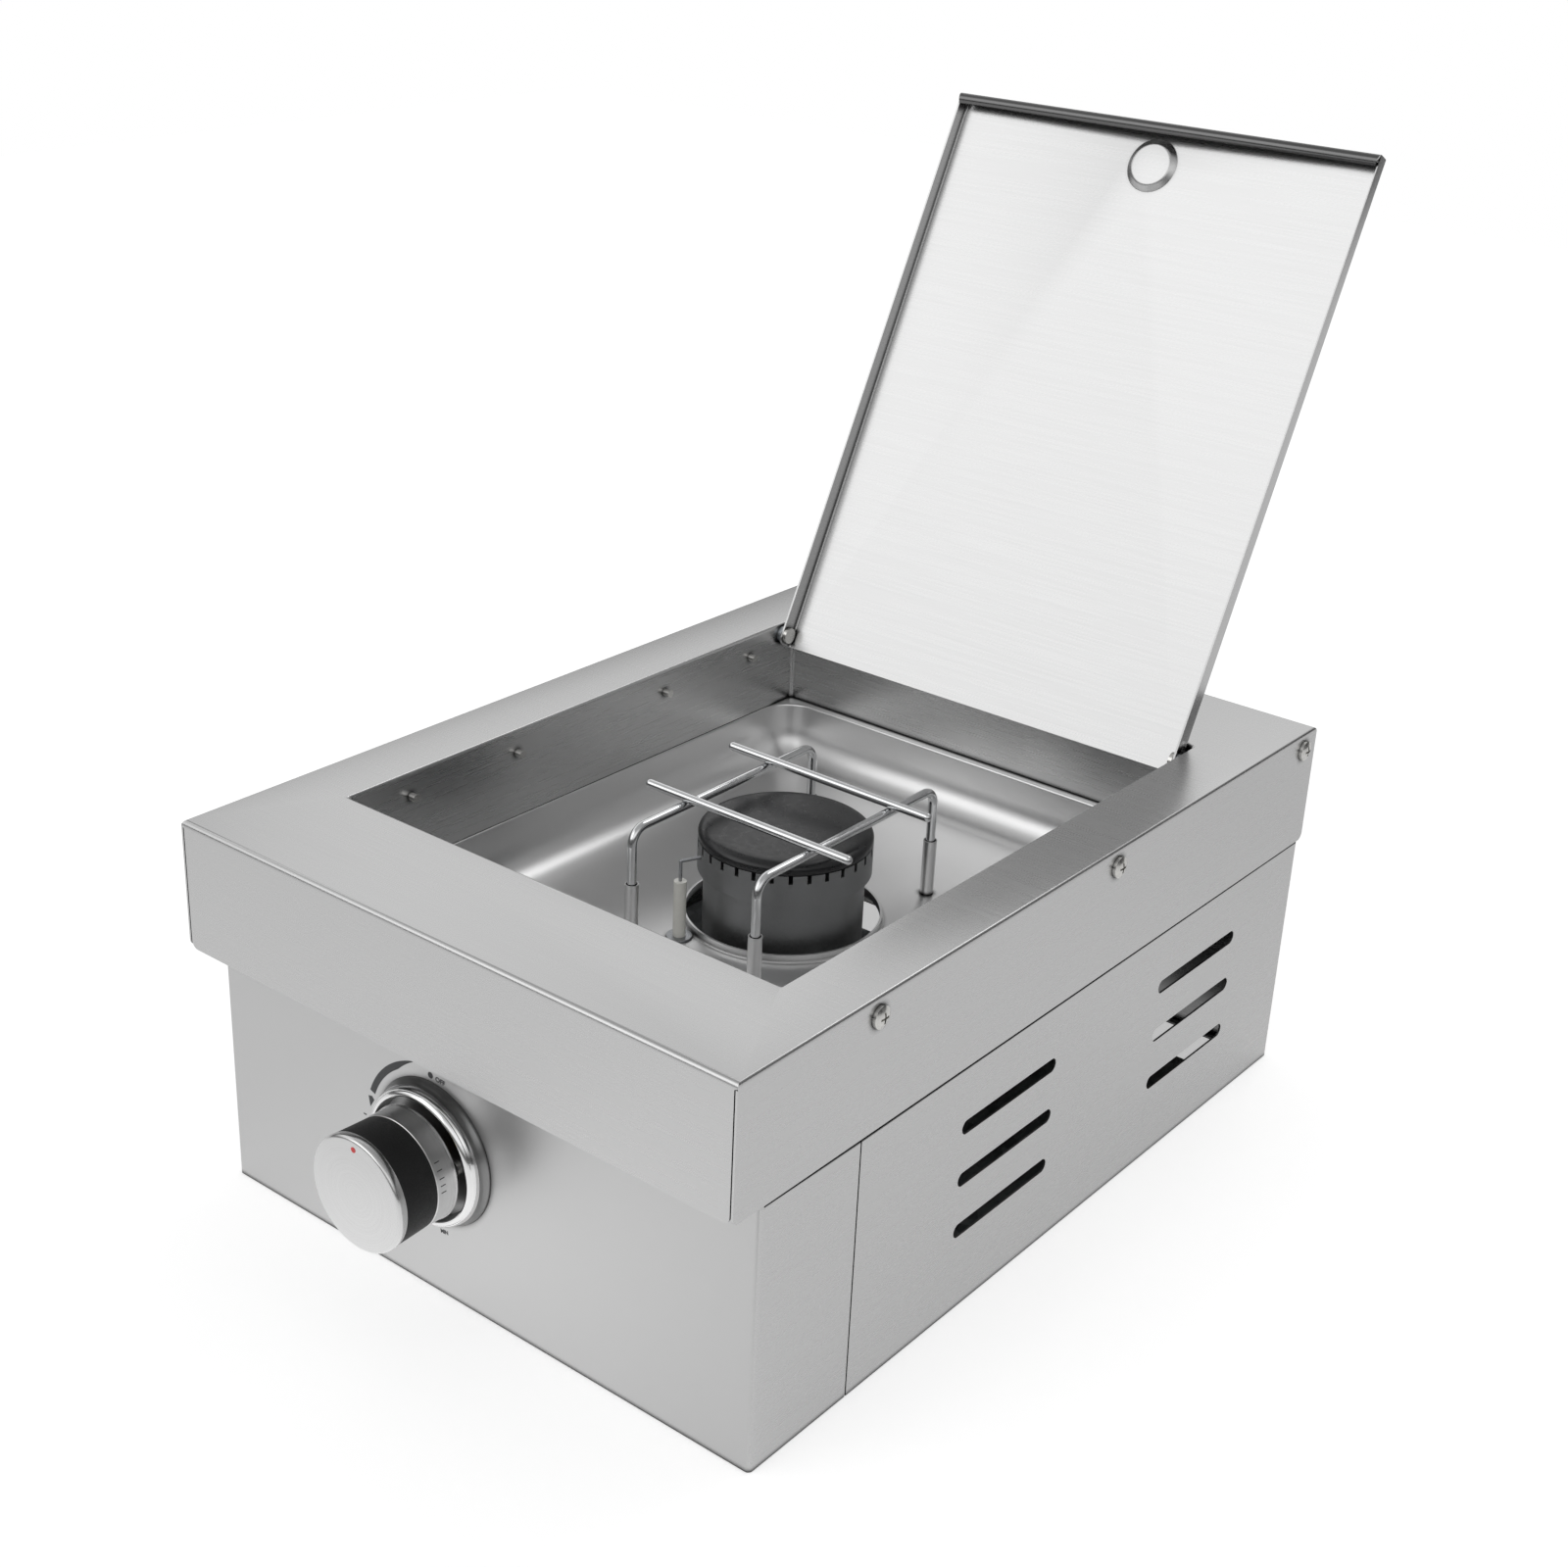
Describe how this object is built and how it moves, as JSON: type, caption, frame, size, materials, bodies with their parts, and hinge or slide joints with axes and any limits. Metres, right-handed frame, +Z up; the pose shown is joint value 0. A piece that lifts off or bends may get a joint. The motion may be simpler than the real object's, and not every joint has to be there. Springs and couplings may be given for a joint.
{
  "type": "portable gas stove",
  "caption": "Portable gas stove in a folded steel casing, with a hinged cover, a covered burner with a wire pan support in a deep well, and a push-and-turn control knob.",
  "frame": {"origin": "on the floor plane, under the vertical centre line of the burner and of the cooking well", "axes": "+X to the right seen from the front, +Y from the front panel to the rear, +Z up"},
  "size_m": [0.316, 0.5333, 0.4519],
  "materials": {
    "stainless_sheet": "fine brushed stainless steel",
    "tray_steel": "pressed stainless steel, smooth",
    "galvanised_steel": "galvanised sheet",
    "plated_screws": "nickel-plated",
    "plated_nuts": "zinc-plated",
    "cast_aluminium": "as cast",
    "black_enamel": "matt black enamel",
    "brass": "turned",
    "spring_steel": "drawn wire",
    "white_plastic": "moulded",
    "red_silicone": "satin",
    "ceramic": "glazed",
    "pipe_aluminium": "drawn tube",
    "bezel_chrome": "bright",
    "knob_metal": "satin, turned",
    "grip_black": "matt moulded",
    "mark_red": "painted",
    "hub_nylon": "moulded",
    "chromed_wire": "bright"
  },
  "bodies": {
    "stove": {"top_frame": "stainless_sheet", "front_panel": "stainless_sheet", "side_panel_left": "stainless_sheet", "side_panel_right": "stainless_sheet", "rear_panel": "stainless_sheet", "drip_tray": "tray_steel", "support_sockets": "tray_steel", "base_plate": "galvanised_steel", "tray_hanger_left": "galvanised_steel", "tray_hanger_right": "galvanised_steel", "burner_bracket": "galvanised_steel", "skirt_screws": "plated_screws", "rear_screws": "plated_screws", "base_screws": "plated_screws", "lid_rest_screws": "plated_screws", "tray_screws": "plated_screws", "burner_screws": "plated_screws", "valve_screws": "plated_screws", "hinge_pins": "plated_screws", "skirt_nuts": "plated_nuts", "rear_nuts": "plated_nuts", "base_nuts": "plated_nuts", "tray_nuts": "plated_nuts", "hinge_nuts": "plated_nuts", "hinge_spacers": "plated_nuts", "burner_body": "cast_aluminium", "burner_head": "cast_aluminium", "injector": "brass", "gas_valve": "brass", "valve_bonnet": "brass", "inlet_fitting": "brass", "inlet_nut": "brass", "electrode_wire": "spring_steel", "electrode_clip": "spring_steel", "piezo_igniter": "white_plastic", "ignition_lead": "red_silicone", "electrode_insulator": "ceramic", "gas_pipe": "pipe_aluminium", "knob_bezel": "bezel_chrome"},
    "lid": {"lid_panel": "stainless_sheet"},
    "valve_plug": {"valve_plug": "brass"},
    "control_knob": {"valve_stem": "brass", "stem_spring": "spring_steel", "knob_ring": "knob_metal", "knob_grip": "grip_black", "knob_cap": "knob_metal", "knob_mark": "mark_red", "knob_hub": "hub_nylon"},
    "pan_support": {"support_rod_left": "chromed_wire", "support_rod_right": "chromed_wire", "support_bar_front": "chromed_wire", "support_bar_rear": "chromed_wire"},
    "burner_cap": {"burner_cap": "black_enamel"},
    "air_shutter": {"air_shutter": "galvanised_steel"}
  },
  "joints": [
    {"name": "lid_hinge", "type": "hinge", "parent": "stove", "child": "lid", "pos_m": [0, 0.1472, 0.181], "axis": [-1, 0, 0], "range_deg": [-116.2, 0]},
    {"name": "knob_turn", "type": "hinge", "parent": "stove", "child": "valve_plug", "pos_m": [-0.0215, -0.19, 0.071], "axis": [0, -1, 0], "range_deg": [0, 180]},
    {"name": "knob_push", "type": "slide", "parent": "valve_plug", "child": "control_knob", "axis": [0, 1, 0], "range_m": [0, 0.003], "stiffness_N_per_m": 800, "springref_m": -0.003, "deforming": ["stem_spring"]},
    {"name": "pan_support_lift", "type": "slide", "parent": "stove", "child": "pan_support", "axis": [0, 0, 1], "range_m": [0, 0.08]},
    {"name": "burner_cap_lift", "type": "slide", "parent": "stove", "child": "burner_cap", "axis": [0, 0, 1], "range_m": [0, 0.006]},
    {"name": "air_shutter_turn", "type": "hinge", "parent": "stove", "child": "air_shutter", "pos_m": [-0.0215, -0.14, 0.071], "axis": [0, 1, 0], "range_deg": [0, 90]}
  ]
}
